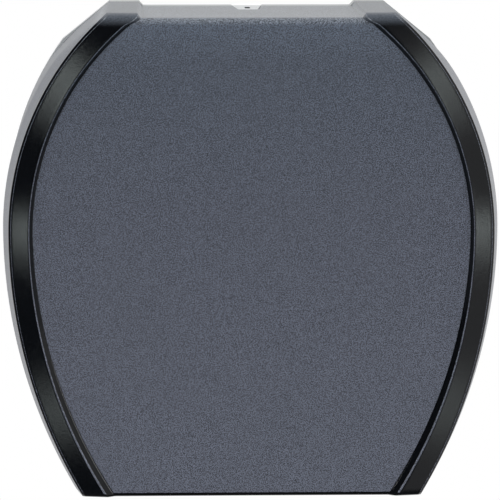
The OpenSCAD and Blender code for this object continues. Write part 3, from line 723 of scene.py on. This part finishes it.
points, quads, zones = [], [], []
starts = []
count = 0
for inset, side, front, at, radii in (
        (0.0, side_line, front_line, ridge_at, outer_rounds),
        (wall, inner_side, inner_front, inner_ridge, inner_rounds)):
    for k, grid in enumerate(cover_skin(inset, side, front, at, radii)):
        n_rows, n_cols = grid.shape[:2]
        starts.append((count, n_rows, n_cols))
        points.append(grid.reshape(-1, 3))
        quads.append(grid_quads(n_rows, n_cols, count, False))
        zone = np.zeros((n_rows - 1, n_cols - 1), int)
        if inset == 0.0 and k == 0:
            top_rows = len(side) - 1
            band = len(front) - 1
            polished = slice(top_rows, n_rows - 1 - top_rows)
            # The lips keep the paler frosted finish, partly a painted highlight along each edge.
            shiny = ~on_lip(front[:-1] / 2 + front[1:] / 2)
            zone[polished, :band] = shiny
            zone[polished, n_cols - 1 - band:] = shiny[::-1]
            zone[n_rows - 1 - top_rows - round_steps:n_rows - 1 - top_rows, :] = 1
        zones.append(zone.ravel())
        count += n_rows * n_cols

# The rear rim joins both skins along the top, the floor and both sides.
for k in range(3):
    (first, n_rows, n_cols), second = starts[k], starts[k + 3]
    if k == 0:
        outer_run = np.arange(n_cols)
        inner_run = np.arange(second[2])
        # Both skins have a column for each step of the panel; the bands' columns are
        # matched by their share of the band.
        half = (n_cols - panel_columns) // 2
        half_in = (second[2] - panel_columns) // 2
        match = np.concatenate([
            np.round(np.linspace(0, half_in - 1, half)), np.arange(panel_columns) + half_in,
            np.round(np.linspace(half_in + panel_columns, second[2] - 1, half))]).astype(int)
        runs = [(first + outer_run, second[0] + match),
                (first + (n_rows - 1) * n_cols + outer_run,
                 second[0] + (second[1] - 1) * second[2] + match)]
    else:
        runs = [(first + np.arange(n_rows) * n_cols, second[0] + np.arange(second[1]) * second[2])]
    for outer_run, inner_run in runs:
        rim = np.stack([outer_run[:-1], outer_run[1:], inner_run[1:], inner_run[:-1]], axis=1)
        quads.append(rim)
        zones.append(np.zeros(len(rim), int))


def frosted_smoke():
    """Smoke-tinted ABS off a spark-eroded mould: fine grain in colour, gloss and relief.
    By height its colour is painted lighter towards the floor, darker up the panel, and
    bright along the crown: painted light and shade."""
    paint = Paint(bpy.data.materials.new("smoke_frosted"))
    where = paint.place()
    grain = paint.noise(where, 1900.0, 2.0, 0.75)
    cloud = paint.noise(where, 16.0, 3.0, 0.55)
    height = paint.add("ShaderNodeSeparateXYZ", {}, where, out="Z")
    level = paint.add("ShaderNodeMapRange", {}, height, bottom_z * MM, top_z * MM, 0.0, 1.0)
    # Painted light and shade by height: lighter towards the floor, darker below the top, and a
    # painted bright band where the top turns over the crown.
    shade = paint.ramp(level, [(0.0, (0.098, 0.108, 0.141)), (0.30, (0.090, 0.099, 0.130)),
                               (0.60, (0.080, 0.089, 0.118)), (0.90, (0.070, 0.083, 0.111)),
                               (0.975, (0.084, 0.102, 0.136)), (0.989, (0.207, 0.229, 0.261)),
                               (1.0, (0.105, 0.122, 0.148))])
    speck = paint.ramp(grain, [(0.42, (0.08, 0.08, 0.08)), (0.58, (1.92, 1.92, 1.92))])
    tone = paint.add("ShaderNodeVectorMath", {"operation": "MULTIPLY"}, shade, speck)
    faded = paint.blend(paint.add("ShaderNodeMapRange", {}, cloud, 0.35, 0.65, 0.0, 0.15),
                        tone, (0.078, 0.087, 0.112))
    rough = paint.add("ShaderNodeMapRange", {}, grain, 0.3, 0.7, 0.30, 0.42)
    return paint.surface(Base_Color=faded, Roughness=rough,
                         Normal=paint.bump(grain, 0.35, 0.00018))


def polished_smoke():
    """The same ABS off a polished mould: nearly black, with faint waves and dust. Over
    the shoulders the polish runs out into the frosting."""
    paint = Paint(bpy.data.materials.new("smoke_polished"))
    where = paint.place()
    waves = paint.noise(where, 22.0, 1.0, 0.4)
    dust = paint.noise(where, 1500.0, 2.0, 0.7)
    height = paint.add("ShaderNodeSeparateXYZ", {}, where, out="Z")
    fade = paint.add("ShaderNodeMapRange", {"interpolation_type": "SMOOTHSTEP"}, height,
                     (top_z - 8) * MM, (top_z - 0.5) * MM, 0.0, 1.0)
    black = paint.ramp(dust, [(0.40, (0.0018, 0.0022, 0.003)), (0.75, (0.005, 0.006, 0.008))])
    grey = paint.ramp(dust, [(0.34, (0.065, 0.075, 0.092)), (0.66, (0.14, 0.16, 0.195))])
    rough = paint.add("ShaderNodeMapRange", {}, dust, 0.35, 0.75, 0.045, 0.08)
    relief = paint.bump(waves, 0.2, 0.0003)
    return paint.surface(Base_Color=paint.blend(fade, black, grey),
                         Roughness=rough + fade * 0.28,
                         Normal=paint.bump(dust, 0.25, 0.00008, relief))


frosted = frosted_smoke()
polished = polished_smoke()
cover = new_piece("cover_shell", np.vstack(points), np.vstack(quads), np.concatenate(zones),
                  (frosted, polished))

# The notch is widest at the wall and its front end is rounded; the slot has four round
# corners.
notch = [(-9.6, 1.0), (9.6, 1.0), (6.2, -47.2), (5.5, -48.6), (4.3, -49.2),
         (-4.3, -49.2), (-5.5, -48.6), (-6.2, -47.2)]
slot_half_w = 75.0
slot_rear = 36.0
slot_front = 108.0
slot_corner = 3.0
turn = np.linspace(0, math.pi / 2, 6)
slot_section = np.concatenate([
    np.stack([sx * (slot_half_w - slot_corner + slot_corner * np.cos(a)),
              -(slot_rear + slot_front) / 2
              + sy * ((slot_front - slot_rear) / 2 - slot_corner + slot_corner * np.sin(a))], axis=1)
    for sx, sy, a in ((1, 1, turn), (-1, 1, turn[::-1]), (-1, -1, turn), (1, -1, turn[::-1]))])
carve(cover, [prism("notch_cut", notch, crown_z - 6, crown_z + 6, 2),
              prism("slot_cut", slot_section, bottom_z - 4, bottom_z + 6, 2)])


def disc(y, z, radius, steps=32):
    """A circle's points in the plane of two axes."""
    t = np.linspace(0, 2 * math.pi, steps, endpoint=False)
    return np.stack([y + radius * np.cos(t), z + radius * np.sin(t)], axis=1)


def ease(piece, width):
    """Rounds a piece's sharp edges over a width in millimetres."""
    bevel = piece.modifiers.new("ease", "BEVEL")
    bevel.width = width * MM
    bevel.segments = 2
    bevel.limit_method = "ANGLE"
    bevel.angle_limit = math.radians(35)
    apply_modifiers(piece)
    soften(piece)


eased = 0.3


def bar(name, low, high):
    """An upright block between two corners in millimetres, with eased edges."""
    (x0, y0, z0), (x1, y1, z1) = low, high
    piece = prism(name, [(y0, z0), (y1, z0), (y1, z1), (y0, z1)], x0, x1, 0)
    ease(piece, eased)
    return piece


# Inside, the same moulding has a hinge knuckle at each lower corner, a rib behind the
# notch that the latch holds, and a seat with three pilot holes on each side of the slot.
hinge_d = 9.0
hinge_z = -130.4
hinge_x = 60.0
knuckle_r = 5.0
lug_w = 9.0
lug_top = -130.8
lug_front = 26.3
bore_r = 2.06
seat_half_l = 77
seat_w = 9
seat_h = 2.4
pilot_r = 1.52
pilot_x = 60
strike_half_w = 8
strike_rear = 50.5
strike_front = 53.5
strike_bottom = 126.6
sunk = 0.4
swing = np.linspace(-math.pi / 2, math.pi + math.asin((hinge_z - lug_top) / knuckle_r), 28)
knuckle = np.concatenate([
    np.stack([-hinge_d + knuckle_r * np.cos(swing), hinge_z + knuckle_r * np.sin(swing)], axis=1),
    [(-lug_front, lug_top), (-lug_front, bottom_z + sunk),
     (-cover_rear - 0.3, bottom_z + sunk), (-cover_rear + 0.3, bottom_z)]])
fittings = []
for side, x in (("left", -hinge_x), ("right", hinge_x)):
    lug = prism(f"cover_knuckle_{side}", knuckle, x - lug_w / 2, x + lug_w / 2, 0)
    ease(lug, eased)
    carve(lug, [prism("bore", disc(-hinge_d, hinge_z, bore_r), x - lug_w, x + lug_w, 0)])
    fittings.append(lug)
fittings.append(bar("cover_strike_rib", (-strike_half_w, -strike_front, strike_bottom),
                    (strike_half_w, -strike_rear, crown_z - wall + sunk)))
for side, front in (("rear", slot_rear), ("front", slot_front + seat_w)):
    seat = bar(f"cover_bar_seat_{side}", (-seat_half_l, -front, bottom_z + wall - sunk),
               (seat_half_l, -front + seat_w, bottom_z + wall + seat_h))
    carve(seat, [prism("pilot", disc(x, -front + seat_w / 2, pilot_r), bottom_z, bottom_z + 8, 2)
                 for x in (-pilot_x, 0, pilot_x)])
    fittings.append(seat)
for piece in fittings:
    piece.data.materials.clear()
    piece.data.materials.append(frosted)

for piece in [cover] + fittings:
    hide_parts("front_cover")
    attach(piece, "cover")
